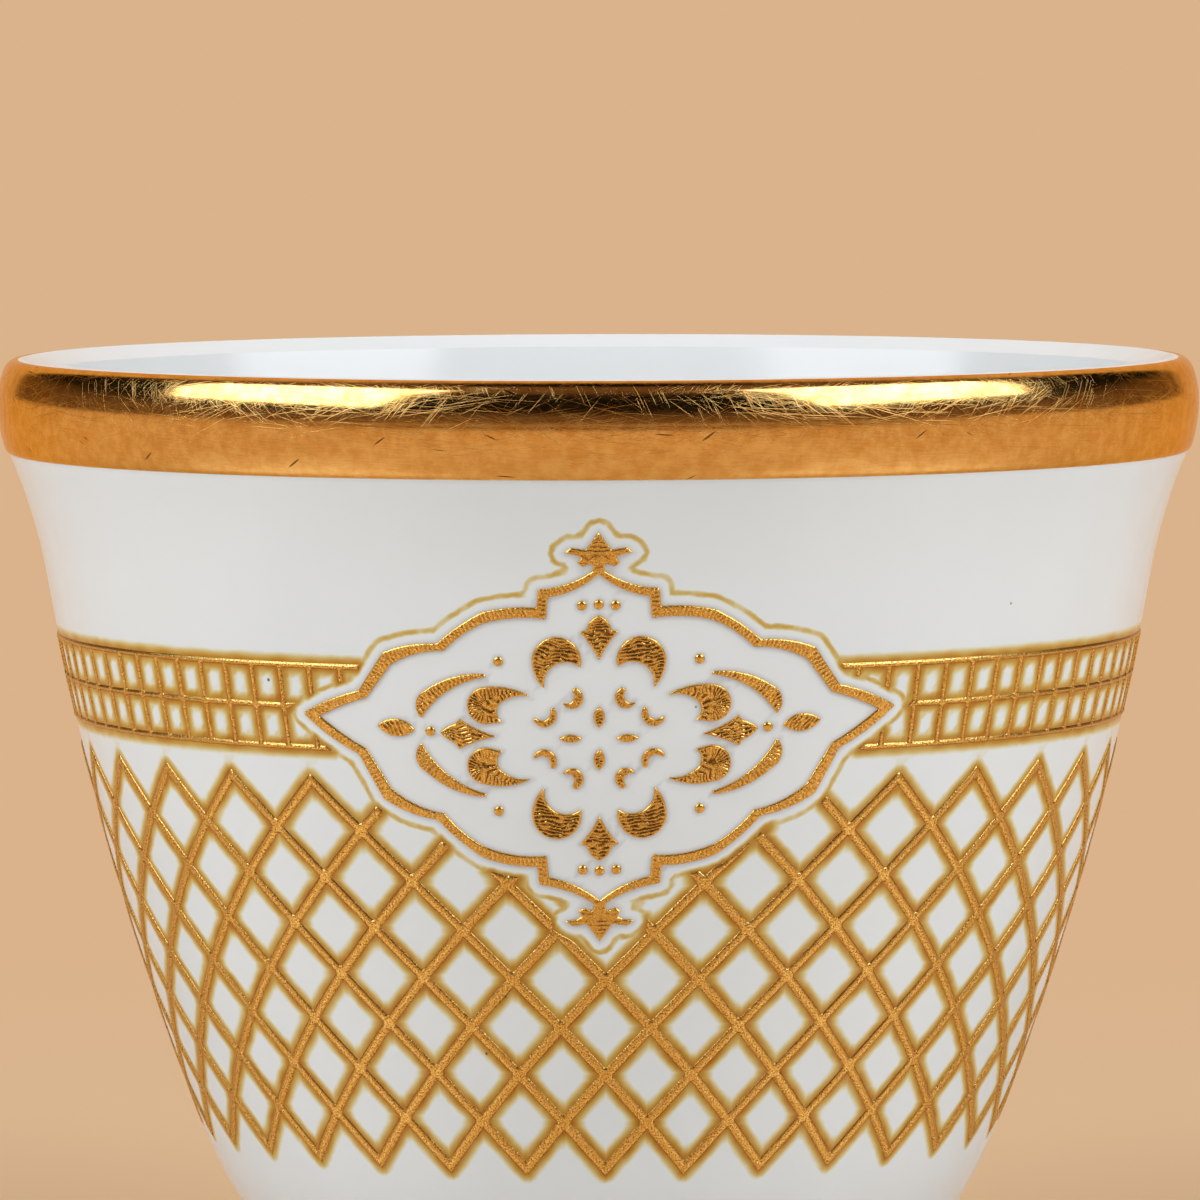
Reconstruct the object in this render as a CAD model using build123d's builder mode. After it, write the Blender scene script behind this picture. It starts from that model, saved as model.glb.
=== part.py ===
from build123d import *
import math
import os

# Arabic coffee cup: a small porcelain cup without a handle, on a foot ring, with raised gilding.
# Millimetres, +Z up, the axis of the cup on Z, the foot ring standing on z = 0.
# The front of the cup faces -Y, and the back carries the same medallion.

# Driving dimensions of the porcelain
# Each drop, here and below, is measured down from the neck, where the rim band begins.
rim_diameter = 62.0
cup_height = 50.0
neck_diameter = 60.8
waist_diameter = 56.96
waist_drop = 6.5
belly_diameter = 40.7
belly_height = 9.5
belly_slope = 0.394
foot_diameter = 29.0
foot_height = 2.2
foot_ring_width = 2.4
foot_recess_depth = 1.8
foot_ledge = 0.8
foot_rounding = 0.5
wall_thickness = 2.3
floor_thickness = 3.2
lip_height = 2.4
lip_setback = 1.2
lip_shoulder = 0.95
lip_rounding = 1.15
lip_lean = 16.0

# Driving dimensions of the gilding
gilding = 0.15
rim_band_height = 5.0

# Driving dimensions of the ladder band below the flared neck
ladder_drop = 11.4
ladder_row_pitch = 2.05
ladder_line_width = 0.3
ladder_cells = 100

# Driving dimensions of the diamond lattice on the bowl, which is turned a little from the medallions
lattice_drop = 15.1
lattice_row_pitch = 2.45
lattice_rows = 8
lattice_columns = 33
lattice_turn = 0.7
lattice_bar_width = 0.5
lattice_tip_trim = 0.05

# Driving dimensions of the medallion, as it is seen from the front.
# Its middle line bows up towards both tips, as a flat transfer does on a wall that widens upwards,
# and rises a little from the left tip to the right one.
medallion_drop = 12.7
medallion_half_width = 14.5
frame_tip_width = 0.84
medallion_bow = 1.15
medallion_rise = 0.16
medallion_clearance = 0.55
dot_radius = 0.25

# Quarter outlines of the medallion, as (across, up) from its middle.
# Each middle point bends the stretch that starts at the corner of the same place, and None is straight.
frame_corners = [(medallion_half_width, 0), (11.75, 1.60), (10.55, 3.65), (7.90, 4.40),
                 (5.70, 6.10), (3.03, 6.45), (2.95, 7.35), (0, 8.50)]
frame_middles = [(13.10, 0.97), None, (9.20, 4.20), (6.80, 5.37), (4.50, 6.38), None, (1.40, 7.70)]
field_corners = [(medallion_half_width - frame_tip_width, 0), (11.36, 1.27), (10.15, 3.08), (7.54, 4.05),
                 (5.60, 5.55), (2.57, 5.87), (2.47, 6.95), (0, 8.10)]
field_middles = [(12.50, 0.72), None, (8.85, 3.78), (6.40, 5.08), (4.20, 5.88), None, (1.20, 7.33)]
finial_corners = [(0, 10.20), (0.62, 9.32), (1.35, 9.42), (1.73, 9.15), (1.10, 9.06), (0.86, 8.90),
                  (1.06, 8.66), (0.80, 8.48), (0.34, 8.62), (0.25, 8.20)]
finial_clearing = [(0, 10.95), (2.30, 9.60), (2.30, 8.80), (1.60, 7.90)]
petal_corners = [(0.90, 3.50), (3.25, 3.55), (2.63, 2.42)]
petal_middles = [(2.08, 5.03), (3.06, 2.95), (1.98, 3.70)]
horn_corners = [(3.20, 2.00), (5.60, 2.42), (5.40, 0.58), (4.66, 0.72), (4.60, 1.78)]
horn_middles = [(4.50, 2.46), (6.43, 1.52), None, (4.96, 1.25), (4.00, 2.04)]
scroll_corners = [(8.66, 0.60), (8.45, 2.05), (5.55, 3.07), (5.48, 2.90)]
scroll_middles = [(8.94, 1.25), (7.13, 2.80), None, (7.62, 1.86)]
inner_hook_corners = [(1.00, 2.46), (1.82, 1.84), (1.31, 2.34)]
inner_hook_middles = [(0.84, 1.72), (1.25, 1.97), (1.18, 2.51)]
outer_hook_corners = [(2.12, 1.42), (3.20, 0.86), (3.08, 1.02), (2.38, 1.42)]
outer_hook_middles = [(2.39, 0.60), (3.19, 0.98), (2.60, 0.93), (2.26, 1.52)]
top_kite_corners = [(0, 6.10), (0.62, 5.36), (0.97, 5.30), (0, 3.85)]
top_kite_middles = [(0.42, 5.82), None, (0.42, 4.60)]
side_kite_corners = [(7.77, 0), (6.97, 0.52), (6.83, 0.78), (4.96, 0)]
side_kite_middles = [(7.42, 0.30), None, (5.90, 0.30)]
leaf_tips = [(10.83, 0), (8.96, 0)]
leaf_swell = 0.45
tall_lozenge_tips = [(0, 1.58), (0, 0.52)]
tall_lozenge_swell = 0.28
wide_lozenge_tips = [(1.97, 0), (0.80, 0)]
wide_lozenge_swell = 0.21
crown_dots = [(0, 6.62), (0.82, 6.57)]
lone_dot = (4.90, 3.72)
side_dot = (8.23, 0)

os.makedirs("parts", exist_ok=True)


def outward(edge, share):
    """The direction square to a wall edge, away from the axis."""
    along = edge % share
    square = Vector(along.Y, -along.X)
    return square if square.X > 0 else -square


def beside(edge, share, distance):
    """The point at a share of a wall edge's length, moved away from the axis."""
    return edge @ share + outward(edge, share) * distance


def concentric(edge, distance):
    """An arc alongside a wall arc, at an even distance from it."""
    return ThreePointArc(beside(edge, 0, distance), beside(edge, 0.5, distance), beside(edge, 1, distance))


# The outer wall is three arcs that run smoothly into each other, from the foot up to the neck.
rim_radius = rim_diameter / 2
foot_radius = foot_diameter / 2
bowl_start = (foot_radius + foot_ledge, foot_height)
belly = (belly_diameter / 2, belly_height)
neck_height = cup_height - rim_band_height
waist = (waist_diameter / 2, neck_height - waist_drop)
neck = (neck_diameter / 2, neck_height)
with BuildLine():
    low_arc = TangentArc(belly, bowl_start, tangent=(-belly_slope, -1))
    bowl_arc = TangentArc(belly, waist, tangent=(belly_slope, 1))
    flare_arc = TangentArc(waist, neck, tangent=bowl_arc % 1)

# The lip swells out from the neck to its widest level. From there its face bends slowly inwards,
# and a tight shoulder turns it over to the level crest.
lip_widest = (rim_radius - gilding, cup_height - lip_height)
lip_crest = (lip_widest[0] - lip_setback, cup_height - gilding)
face_rise = lip_crest[1] - lip_widest[1] - lip_shoulder
face_turn = 2 * math.degrees(math.atan2(lip_setback - lip_shoulder, face_rise))
face_radius = lip_shoulder + face_rise / math.sin(math.radians(face_turn))
with BuildLine():
    swell_arc = TangentArc(lip_widest, neck, tangent=(0, -1))


def draw_lip(distance):
    """The face and the shoulder of the lip, at an even distance outside the porcelain."""
    face_start = (lip_widest[0] + distance, lip_widest[1])
    face_arc = JernArc(face_start, (0, 1), face_radius + distance, face_turn)
    JernArc(face_arc @ 1, face_arc % 1, lip_shoulder + distance, 90 - face_turn)



# Porcelain body: bowl, flared neck, lip and foot ring are shaped and fired in one piece.
foot_inner_radius = foot_radius - foot_ring_width
floor_height = foot_recess_depth + floor_thickness
belly_lean = math.degrees(math.atan(belly_slope))
cavity_start = beside(bowl_arc, 0, -wall_thickness)
floor_bend = (cavity_start.Y - floor_height) / (1 - math.sin(math.radians(belly_lean)))
with BuildPart() as cup_body:
    with BuildSketch(Plane.XZ) as body_profile:
        with BuildLine():
            Polyline(
                (0, foot_recess_depth),
                (foot_inner_radius, foot_recess_depth),
                (foot_inner_radius, 0),
                (foot_radius, 0),
                (foot_radius, foot_height),
                bowl_start,
            )
            add([low_arc, bowl_arc, flare_arc, swell_arc])
            draw_lip(0)
            inner_lip = JernArc(lip_crest, (-1, 0), lip_rounding, 90 - lip_lean)
            inner_bowl = concentric(bowl_arc, -wall_thickness)
            TangentArc(inner_bowl @ 1, inner_lip @ 1, tangent=inner_bowl % 1)
            floor_arc = JernArc(cavity_start, (-belly_slope, -1), floor_bend, belly_lean - 90)
            Polyline(floor_arc @ 1, (0, floor_height), (0, foot_recess_depth))
        make_face()
        fillet(body_profile.vertices().group_by(Axis.Y)[0], radius=foot_rounding)
        fillet(body_profile.vertices().sort_by_distance((foot_radius, foot_height))[0], radius=foot_rounding)
    revolve(axis=Axis.Z)
cup_body.part.label = "cup_body"
export_step(cup_body.part, "parts/cup_body.step")

# Rim band: the gilding over the whole swollen lip, from the neck to the crest.
with BuildPart() as rim_band:
    with BuildSketch(Plane.XZ):
        with BuildLine():
            add(swell_arc)
            concentric(swell_arc, gilding)
            draw_lip(0)
            draw_lip(gilding)
            Line(neck, beside(swell_arc, 1, gilding))
            Line(lip_crest, (lip_crest[0], cup_height))
        make_face()
    revolve(axis=Axis.Z)
rim_band.part.label = "rim_band"
export_step(rim_band.part, "parts/rim_band.step")

# Gold skin: the thin layer on the outer wall that the gilded ornament is cut from.
wall_arcs = [low_arc, bowl_arc, flare_arc]
with BuildPart() as wall_skin:
    with BuildSketch(Plane.XZ):
        with BuildLine():
            add(wall_arcs)
            for arc in wall_arcs:
                concentric(arc, gilding)
            Line(low_arc @ 1, beside(low_arc, 1, gilding))
            Line(flare_arc @ 1, beside(flare_arc, 1, gilding))
        make_face()
    revolve(axis=Axis.Z)

# The levels of the ornament, and a reach that is longer than half the cup in any direction.
ladder_height = neck_height - ladder_drop
lattice_top = neck_height - lattice_drop
medallion_height = neck_height - medallion_drop
reach = rim_diameter


def wall_radius(height):
    """The radius of the outer wall at a height."""
    if height < belly_height:
        arc = low_arc
    elif height < neck_height - waist_drop:
        arc = bowl_arc
    else:
        arc = flare_arc
    centre = arc.arc_center
    bulge = 1 if (arc @ 0.5).X > centre.X else -1
    return centre.X + bulge * math.sqrt(arc.radius ** 2 - (height - centre.Y) ** 2)


def on_wall(across, up):
    """A place in the medallion, as front-view coordinates of the cup."""
    share = across / medallion_half_width
    return (across, medallion_height + up + medallion_bow * share ** 2 + medallion_rise * share)


def draw_stretch(start, middle, end):
    """One straight or bent stretch of an outline in the medallion."""
    if middle is None:
        Line(on_wall(*start), on_wall(*end))
    else:
        ThreePointArc(on_wall(*start), on_wall(*middle), on_wall(*end))


def draw_path(corners, middles, side, level):
    """Consecutive stretches from the first corner to the last, in one quarter of the medallion."""
    flip = (lambda place: None if place is None else (place[0] * side, place[1] * level))
    for start, middle, end in zip(corners, middles, corners[1:]):
        draw_stretch(flip(start), flip(middle), flip(end))


QUARTERS = [(1, 1), (-1, 1), (-1, -1), (1, -1)]


def four_pieces(corners, middles):
    """A closed piece in each quarter of the medallion."""
    for side, level in QUARTERS:
        with BuildLine() as outline:
            draw_path(corners + corners[:1], middles, side, level)
        make_face(outline.edges())


def whole_outline(corners, middles, mode):
    """One outline that runs through all four quarters."""
    with BuildLine() as outline:
        for side, level in QUARTERS:
            draw_path(corners, middles, side, level)
    make_face(outline.edges(), mode=mode)


def half_outline(corners, middles, side, level):
    """One outline that is drawn on both sides of its own middle line, across or upright."""
    with BuildLine() as outline:
        draw_path(corners, middles, side, level)
        if corners[0][0] == 0:
            draw_path(corners, middles, -side, level)
        else:
            draw_path(corners, middles, side, -level)
    make_face(outline.edges())


def upright_polygon(corners, level):
    """A straight-sided outline with its left half mirrored from its right half."""
    half = [on_wall(across, up * level) for across, up in corners]
    other_half = [on_wall(-across, up * level) for across, up in reversed(corners[1:])]
    with BuildLine() as outline:
        Polyline(*half, *other_half, close=True)
    make_face(outline.edges())


def lens(tips, swell, side, level):
    """A pointed oval between two tips."""
    (first_across, first_up), (last_across, last_up) = tips
    length = math.hypot(last_across - first_across, last_up - first_up)
    middle = ((first_across + last_across) / 2, (first_up + last_up) / 2)
    square = ((last_up - first_up) / length * swell, (first_across - last_across) / length * swell)
    with BuildLine() as outline:
        for way in (1, -1):
            bulge = (middle[0] + square[0] * way, middle[1] + square[1] * way)
            draw_path(tips, [bulge], side, level)
    make_face(outline.edges())


def dot(place, side, level):
    """A round dot."""
    with Locations(on_wall(place[0] * side, place[1] * level)):
        Circle(dot_radius)


def draw_frame():
    """The lobed outline of the medallion, with a finial above and below."""
    whole_outline(frame_corners, frame_middles, Mode.ADD)
    whole_outline(field_corners, field_middles, Mode.SUBTRACT)
    for level in (1, -1):
        upright_polygon(finial_corners, level)


def draw_petals():
    """Four plump crescents round the middle."""
    four_pieces(petal_corners, petal_middles)


def draw_horns():
    """Four horns that curl in from the sides."""
    four_pieces(horn_corners, horn_middles)


def draw_scrolls():
    """Four slim curved leaves outside the horns."""
    four_pieces(scroll_corners, scroll_middles)


def draw_hooks():
    """Eight small hooks in a ring round the middle."""
    four_pieces(inner_hook_corners, inner_hook_middles)
    four_pieces(outer_hook_corners, outer_hook_middles)


def draw_kites():
    """Four pointed kites: above, below and at both sides."""
    for way in (1, -1):
        half_outline(top_kite_corners, top_kite_middles, 1, way)
        half_outline(side_kite_corners, side_kite_middles, way, 1)


def draw_leaves():
    """A pointed leaf inside each tip of the frame."""
    for side in (1, -1):
        lens(leaf_tips, leaf_swell, side, 1)


def draw_lozenges():
    """Four small pointed ovals at the very middle."""
    for way in (1, -1):
        lens(tall_lozenge_tips, tall_lozenge_swell, 1, way)
        lens(wide_lozenge_tips, wide_lozenge_swell, way, 1)


def draw_dots():
    """Single dots between the pieces, and a row of three at the top and the bottom."""
    for side, level in QUARTERS:
        dot(lone_dot, side, level)
        dot(crown_dots[1], side, level)
    for way in (1, -1):
        dot(crown_dots[0], 1, way)
        dot(side_dot, way, 1)


# The clearing that the band and the lattice leave round both medallions.
with BuildPart() as clearing:
    with BuildSketch(Plane.XZ):
        whole_outline(frame_corners, frame_middles, Mode.ADD)
        offset(amount=medallion_clearance, kind=Kind.INTERSECTION)
        for level in (1, -1):
            upright_polygon(finial_clearing, level)
    extrude(amount=reach, both=True)

# Ladder band: three rails with rungs between them, broken by the medallions.
ladder_reach = ladder_row_pitch + ladder_line_width / 2
ladder_radius = wall_radius(ladder_height)
cell_width = 2 * math.pi * ladder_radius / ladder_cells - ladder_line_width
cell_height = ladder_row_pitch - ladder_line_width
cell_depth = wall_thickness
with BuildPart() as ladder_band:
    add(wall_skin.part)
    with Locations((0, 0, ladder_height)):
        Cylinder(reach, 2 * ladder_reach, mode=Mode.INTERSECT)
    for row in (-0.5, 0.5):
        with Locations((0, 0, ladder_height + row * ladder_row_pitch)):
            with PolarLocations(ladder_radius, ladder_cells, start_angle=-90):
                Box(cell_depth, cell_width, cell_height, mode=Mode.SUBTRACT)
    add(clearing.part, mode=Mode.SUBTRACT)

for side_name, kept_half in (("left", Keep.BOTTOM), ("right", Keep.TOP)):
    with BuildPart() as ladder_half:
        add(ladder_band.part)
        split(bisect_by=Plane.YZ, keep=kept_half)
    ladder_half.part.label = f"ladder_band_{side_name}"
    export_step(ladder_half.part, f"parts/ladder_band_{side_name}.step")


def lattice_opening(row):
    """The prism that opens one cell of a lattice row at the front, or one gap of its zigzag edges."""
    level = lattice_top - row * lattice_row_pitch
    across = wall_radius(level) * math.sin(math.pi / lattice_columns)
    side_length = math.hypot(across, lattice_row_pitch)
    share = 1 - lattice_bar_width / 2 * side_length / (across * lattice_row_pitch)
    below = (0, level - share * lattice_row_pitch)
    above = (0, level + share * lattice_row_pitch)
    tip = (1 - share) * lattice_row_pitch - lattice_tip_trim / 2
    spread = across * (share + tip / lattice_row_pitch)
    if row == 0:
        corners = [below, (spread, level + tip), (-spread, level + tip)]
    elif row == lattice_rows:
        corners = [above, (-spread, level - tip), (spread, level - tip)]
    else:
        corners = [below, (across * share, level), above, (-across * share, level)]
    with BuildPart() as opening:
        with BuildSketch(Plane.XZ.offset(wall_radius(level) - wall_thickness)):
            with BuildLine():
                Polyline(*corners, close=True)
            make_face()
        extrude(amount=2 * wall_thickness)
    edge = tip - lattice_tip_trim / 2
    return opening.part, level + edge if row == 0 else level - edge


# Diamond lattice: one net of gold bars right round the bowl, with zigzag edges.
# The clearing cuts a few ends of bars free of the net, and those offcuts are left out.
openings = [lattice_opening(row) for row in range(lattice_rows + 1)]
net_top = openings[0][1]
net_bottom = openings[-1][1]
column_angle = 360 / lattice_columns
with BuildPart() as lattice_net:
    add(wall_skin.part)
    with Locations((0, 0, (net_top + net_bottom) / 2)):
        Cylinder(reach, net_top - net_bottom, mode=Mode.INTERSECT)
    for row, (opening, edge_level) in enumerate(openings):
        first_angle = lattice_turn + (column_angle / 2 if row % 2 == 0 else 0)
        with PolarLocations(0, lattice_columns, start_angle=first_angle):
            add(opening, mode=Mode.SUBTRACT)
    add(clearing.part, mode=Mode.SUBTRACT)
with BuildPart() as diamond_lattice:
    add(lattice_net.part.solids().sort_by(SortBy.VOLUME)[-1])
diamond_lattice.part.label = "diamond_lattice"
export_step(diamond_lattice.part, "parts/diamond_lattice.step")

# Medallions: each kind of ornament is its own set of raised gold pieces, on the front and on the back.
ornaments = {
    "frame": draw_frame,
    "petals": draw_petals,
    "horns": draw_horns,
    "scrolls": draw_scrolls,
    "kites": draw_kites,
    "leaves": draw_leaves,
    "hooks": draw_hooks,
    "lozenges": draw_lozenges,
    "dots": draw_dots,
}
for face_name, way in (("front", 1), ("back", -1)):
    for ornament_name, draw_ornament in ornaments.items():
        with BuildPart() as ornament:
            with BuildSketch(Plane.XZ):
                draw_ornament()
            extrude(amount=reach * way)
            add(wall_skin.part, mode=Mode.INTERSECT)
        ornament.part.label = f"{face_name}_{ornament_name}"
        export_step(ornament.part, f"parts/{face_name}_{ornament_name}.step")
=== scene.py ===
import math

import bmesh
import bpy
import numpy as np
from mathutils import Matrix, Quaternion, Vector, bvhtree, geometry, kdtree, noise


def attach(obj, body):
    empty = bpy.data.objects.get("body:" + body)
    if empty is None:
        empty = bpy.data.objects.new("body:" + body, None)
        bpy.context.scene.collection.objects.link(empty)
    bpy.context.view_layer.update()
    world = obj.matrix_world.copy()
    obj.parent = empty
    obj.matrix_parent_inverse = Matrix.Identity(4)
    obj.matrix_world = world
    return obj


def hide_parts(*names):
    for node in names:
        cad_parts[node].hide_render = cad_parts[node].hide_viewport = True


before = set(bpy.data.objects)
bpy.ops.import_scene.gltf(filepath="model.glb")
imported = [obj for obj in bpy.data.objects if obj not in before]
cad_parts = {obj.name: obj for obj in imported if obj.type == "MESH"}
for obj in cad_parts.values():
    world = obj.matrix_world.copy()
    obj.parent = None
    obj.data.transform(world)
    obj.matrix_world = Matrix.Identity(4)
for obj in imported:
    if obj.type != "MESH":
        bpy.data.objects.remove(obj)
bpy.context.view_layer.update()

# Arabic coffee cup: glazed porcelain, a polished gold lip, and raised gold ornament on the wall.
# Metres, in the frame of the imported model. The front medallion faces -Y.
MM = 0.001

# The faces that carry a medallion, by their angle about Z, and the pieces of each medallion
FACES = {"front": -math.pi / 2, "back": math.pi / 2}
ORNAMENTS = ["frame", "petals", "horns", "scrolls", "kites", "leaves", "hooks", "lozenges", "dots"]

# Fineness of the turned surfaces. The outer wall is finest where it carries ornament.
COLUMNS = 480
ORNAMENT_LEVELS = (9.2 * MM, 43.9 * MM)
ORNAMENT_ROW = 0.37 * MM
PLAIN_ROW = 0.6 * MM
INNER_ROW = 1.3 * MM
RIM_ROW = 0.15 * MM
CORNER_TURN = math.radians(18)
SHARP_TURN = math.radians(40)

# How close a point of a node lies to the seam plane, and how close points are joined into one.
SEAM_WIDTH = 2e-7
NODE_WELD = 0.0002 * MM
MESH_WELD = 0.001 * MM

# The outer wall is taken to begin where it is this much wider than the start of the section.
WALL_START = 1.25

# The rim's gold thins out towards its lower edge and towards the crest of the lip.
# It ends a little way before both, and its underside lies in the glaze.
RIM_LOW_END = 0.1 * MM
RIM_LOW_FEATHER = 0.4 * MM
RIM_CREST_END = 0.36 * MM
RIM_CREST_FEATHER = 0.8 * MM
RIM_FEATHER_EDGE = 0.012 * MM
RIM_UNDERSIDE = 0.06 * MM
LIP_STEP = 0.02 * MM
LIP_START = 43.0 * MM

# The raised gold: how far it stands up, and how deep its edge and its underside sit in the glaze.
GOLD_HEIGHT = 0.12 * MM
BAR_HEIGHT = 0.09 * MM
EDGE_SINK = 0.005 * MM
UNDERSIDE_SINK = 0.03 * MM
ON_WALL = 0.05 * MM
OUTLINE_CORNER = math.radians(25)
ROUND_LOOP_POINTS = 12

# Meshing of a gold layer on the unrolled wall, in millimetres: how close a point lies to a cut, and how
# close points are joined. Inner points stand in rings, each at nearly its full distance from all outlines,
# with at most one to a cell whose width is a share of the ring spacing.
CUT_WIDTH = 1e-4
TRIANGLE_JOIN = 1e-6
RING_FULL = 0.94
RING_CROWDING = 0.8

# A point of the porcelain is covered if a line of this length, which starts this far outside it and runs
# inwards, meets gold. Points away from the ornament get a gap that is far beyond any film, in millimetres.
LOOK_START = 1.0 * MM
LOOK_LENGTH = 1.2 * MM
FAR_GAP = 9.0

# Bars, in millimetres: the soft shoulder and the brown stain, both from the edge, and the size of the
# hammered dents. The depth of a dent is a share of the bar's height.
BAR_SHOULDER = (-0.03, 0.2)
BAR_STAIN = 0.13
DENT_SIZE = 0.22
DENT_DEPTH = 0.12

# Engraved ribs drift by shares of their pitch, over patches of two sizes in millimetres. Slanted ribs also
# bend, in millimetres. Grooves are shallower in some patches, and begin softly inside the plain rim.
RIB_SLOW_DRIFT = 0.5
RIB_SLOW_SIZE = 0.5
RIB_QUICK_DRIFT = 0.2
RIB_QUICK_SIZE = 0.15
RIB_BEND = 0.12
RIB_BEND_SIZE = 0.7
GROOVE_PATCH_SIZE = 0.3
GROOVE_PATCH_RANGE = (-0.55, 0.05)
GROOVE_LEAST = 0.35
GROOVE_SHARPNESS = 1.5
GROOVE_START = 0.06

# Widths of the rounded edges of ribbed layers and of drops, in millimetres, and the height of a drop
RIBBED_EDGE = 0.1
DROP_EDGE = 0.26
DROP_HEIGHT = 1.1 * GOLD_HEIGHT

# Camera, as the photograph was taken: with a long lens, looking down a little from above the rim.
PHOTO_PIXELS = 1200
AXIS_PIXEL = 598.8
CAMERA_DISTANCE = 434 * MM
CAMERA_ELEVATION = math.radians(3.94)
CAMERA_ROLL = math.radians(0.15)
AIM_HEIGHT = 37.17 * MM
SENSOR_WIDTH = 36.0
LENS = 251.3

# Colours, as linear values
TAN = (0.70, 0.45, 0.26)
PALE_FLOOR = (0.68, 0.65, 0.61)
ROOM_BLACK = (0.006, 0.005, 0.004)
ROOM_BROWN = (0.14, 0.075, 0.045)
AMBIENT_LOW = (0.34, 0.323, 0.298)
AMBIENT_HIGH = (0.22, 0.24, 0.25)
LAMP = (0.95, 1.0, 1.05)
GLAZE_DULL = (0.80, 0.795, 0.785)
GLAZE_WHITE = (0.85, 0.845, 0.835)
# Painted shade for the glaze beside the medallion's gold
PAINTED_SHADE = (0.30, 0.27, 0.28)
GLAZE_SPECK = (0.05, 0.03, 0.02)
AMBER_FILM = (0.53, 0.17, 0.0065)
GOLD_DARK = (0.44, 0.18, 0.02)
GOLD_MIDDLE = (0.93, 0.565, 0.13)
GOLD_LIGHT = (1.0, 0.90, 0.42)
GOLD_GROOVE = (0.13, 0.04, 0.008)
GOLD_EDGE_TINT = (1.0, 0.74, 0.38)
RIM_DULL = (0.80, 0.44, 0.12)
RIM_BRIGHT = (0.95, 0.63, 0.23)
RIM_NICK = (0.09, 0.03, 0.01)

# Amber on the glaze, in millimetres from the gold: a film beside the bars, a clear strip round a
# medallion's frame, and a line beyond that strip. Their edges wander.
FILM_RANGE = (-0.12, 0.54)
FILM_DEPTH = 0.95
CLEAR_RANGE = (0.30, 0.55)
LINE_GAP = 0.60
LINE_RANGE = (0.03, 0.2)
RAGGED_EDGE = 0.16

# Uneven patches in the glaze, as patches to a millimetre, the range that most of a noise lies in, and how
# strong the film and the line are from patch to patch
CLOUDS = 0.12
RAGGED_PATCHES = 1.6
FILM_PATCHES = 0.8
LINE_PATCHES = 0.9
WAVE_PATCHES = 0.7
NOISE_RANGE = (0.3, 0.7)
FILM_STRENGTH = (0.7, 1.1)
LINE_NOISE_RANGE = (0.3, 0.65)
LINE_STRENGTH = (0.2, 0.45)

# Painted shade on the glaze for the contact shadow beside the medallion's gold, in millimetres from its edge
SHADE_RANGE = (-0.06, 0.27)
SHADE_DEPTH = 0.36

# Dark specks in the glaze: cells to a millimetre, half of them with a speck, and its radius in cells
SPECK_CELLS = 0.2
SPECK_KEPT = (0.5, 0.52)
SPECK_RANGE = (0.010, 0.024)
SPECK_DEPTH = 0.9

# Polish of the glaze and of the rim, with the waves and the scratches in it
GLAZE_IOR = 1.5
GLAZE_ROUGHNESS = (0.16, 0.24)
GLAZE_WAVES = 0.01 * MM
GLAZE_WAVE_STRENGTH = 0.5
RIM_ROUGHNESS = (0.09, 0.16)
RIM_SCRATCH_DEPTH = 0.0032 * MM
RIM_SCRATCH_STRENGTH = 0.7

# Raised gold: where its grooves turn brown, how brown they get, and how much smoother its bright flecks are
# and how much rougher its dark ones
GROOVE_BROWN_RANGE = (0.05, 0.9)
GROOVE_BROWN = 0.95
FLECK_POLISH = 0.08

# Rim gold: cloudy patches to a millimetre, and rubbing strokes by slant in degrees, length and width
RIM_CLOUDS = 1.1
RUBBING_STROKE = (3, 1.6, 0.07)
RUBBING_SHARE = 0.25
RUBBING_RANGE = (0.35, 0.7)
RIM_TONE_RANGE = (0.34, 0.66)

# Hairline scratches on the rim: slant in degrees and length in millimetres
RIM_SCRATCH_WIDTH = 0.035
RIM_SCRATCH_RANGE = (0.64, 0.77)
RIM_SCRATCHES = [(3, 8.0), (-9, 7.0), (15, 7.0), (-24, 6.0), (36, 5.0), (-50, 5.0), (66, 4.0)]

# Dark nicks on the rim: slant in degrees, and length and width of the cells that can each hold one. Not
# quite half of the cells do, and a nick's radius is given in cells.
NICK_KEPT = (0.55, 0.57)
NICK_RANGE = (0.05, 0.1)
NICK_DEPTH = 0.85
RIM_NICKS = [(24, 4.2, 0.5), (-35, 5.0, 0.6), (4, 6.0, 0.5)]

# Floor: it glows like the backdrop beyond this range from the cup, and for what the gold reflects it ends
# this far in front of the cup, where the dark room begins.
FLOOR_RADIUS = 6.0
FLOOR_SIDES = 128
FLOOR_ROUGHNESS = 0.3
GLOW_RANGE = (0.06, 0.2)
FLOOR_FRONT = (-0.76, -0.61)

# World, by how far a direction goes up, sideways or back: where the ambient light changes from low to high,
# and where the room in the gold changes, from tan below the horizon to brown, black, brown and black
# upwards. The tan backdrop stands behind the cup.
AMBIENT_RISE = (0.15, 0.9)
HORIZON_RISE = (0.0, 0.03)
LOW_BLACK_RISE = (0.14, 0.30)
BROWN_RISE = (0.57, 0.72)
HIGH_BLACK_RISE = (0.93, 0.99)
BACKDROP_SIDE = (0.46, 0.56)
BACKDROP_DEPTH = (0.2, 0.6)

# Lamps: azimuth and elevation in degrees, distance, width and height in metres, and radiance
KEY_LAMP = (66, 36, 0.6, 0.5, 0.34, 4.05)
BACK_FILL = (180, 40, 0.7, 0.6, 0.4, 2.2)
FRONT_FILL = (0, 3, 0.8, 0.4, 0.12, 3.2)


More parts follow.
